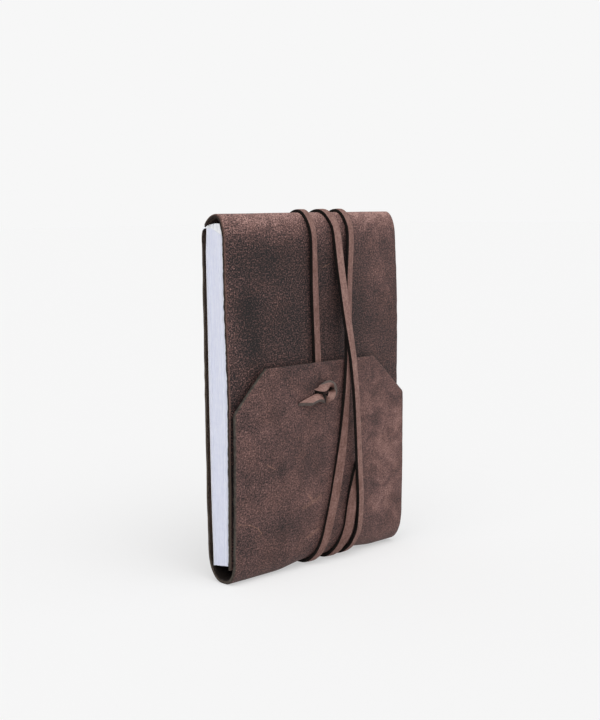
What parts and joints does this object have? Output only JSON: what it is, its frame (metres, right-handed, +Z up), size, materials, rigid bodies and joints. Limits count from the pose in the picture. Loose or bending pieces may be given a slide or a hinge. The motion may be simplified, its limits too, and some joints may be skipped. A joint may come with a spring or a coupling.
{
  "type": "leather notebook",
  "caption": "Pocket notebook in a wrap-round leather cover with a chamfered flap, closed by a wound leather thong that is knotted through the flap.",
  "frame": {"origin": "on the ground under the middle of the object's box", "axes": "+X along the spine, -Y faces the flap and the viewer, +Z up from the folded fore edge to the spine"},
  "size_m": [0.107, 0.0258, 0.1639],
  "materials": {
    "cover_leather": "distressed matt brown hide",
    "thong_leather": "cut hide strap, paler face and dark edges",
    "paper": "uncoated white pages",
    "lining": "thin white cloth on the spine"
  },
  "bodies": {
    "book": {"back_cover": "cover_leather", "fore_edge_fold": "cover_leather", "back_endpaper": "paper", "signature_10": "paper", "signature_11": "paper", "signature_12": "paper", "spine_lining_4": "lining"},
    "spine": {"spine_fold": "cover_leather"},
    "cover": {"front_cover": "cover_leather"},
    "front_pages": {"front_endpaper": "paper", "signature_01": "paper", "signature_02": "paper", "signature_03": "paper", "spine_lining_1": "lining"},
    "second_pages": {"signature_04": "paper", "signature_05": "paper", "signature_06": "paper", "spine_lining_2": "lining"},
    "third_pages": {"signature_07": "paper", "signature_08": "paper", "signature_09": "paper", "spine_lining_3": "lining"},
    "flap": {"closing_flap": "cover_leather", "thong_knot": "thong_leather"},
    "thong": {"wrap_thong": "thong_leather"}
  },
  "joints": [
    {"name": "spine_hinge", "type": "hinge", "parent": "book", "child": "spine", "pos_m": [0, 0.011, 0.1554], "axis": [-1, 0, 0], "range_deg": [0, 90], "deforming": ["wrap_thong", "closing_flap", "thong_knot"]},
    {"name": "cover_hinge", "type": "hinge", "parent": "spine", "child": "cover", "pos_m": [0, -0.005, 0.1554], "axis": [-1, 0, 0], "range_deg": [0, 90]},
    {"name": "front_pages_hinge", "type": "hinge", "parent": "book", "child": "front_pages", "pos_m": [0, 0.011, 0.1554], "axis": [-1, 0, 0], "range_deg": [0, 66]},
    {"name": "second_pages_hinge", "type": "hinge", "parent": "book", "child": "second_pages", "pos_m": [0, 0.011, 0.1554], "axis": [-1, 0, 0], "range_deg": [0, 44]},
    {"name": "third_pages_hinge", "type": "hinge", "parent": "book", "child": "third_pages", "pos_m": [0, 0.011, 0.1554], "axis": [-1, 0, 0], "range_deg": [0, 22]},
    {"name": "flap_hinge", "type": "hinge", "parent": "book", "child": "flap", "pos_m": [0, -0.0089, 0.007], "axis": [1, 0, 0], "range_deg": [0, 90]},
    {"name": "thong_slide", "type": "slide", "parent": "book", "child": "thong", "axis": [1, 0, 0], "range_m": [0, 0.072]}
  ],
  "couplings": [
    {"joint": "cover_hinge", "follows": "spine_hinge", "ratio": 1},
    {"joint": "front_pages_hinge", "follows": "spine_hinge", "ratio": 0.7333},
    {"joint": "second_pages_hinge", "follows": "spine_hinge", "ratio": 0.4888},
    {"joint": "third_pages_hinge", "follows": "spine_hinge", "ratio": 0.2444},
    {"joint": "flap_hinge", "follows": "spine_hinge", "ratio": 1},
    {"joint": "thong_slide", "follows": "spine_hinge", "m_per_rad": 0.0458}
  ]
}
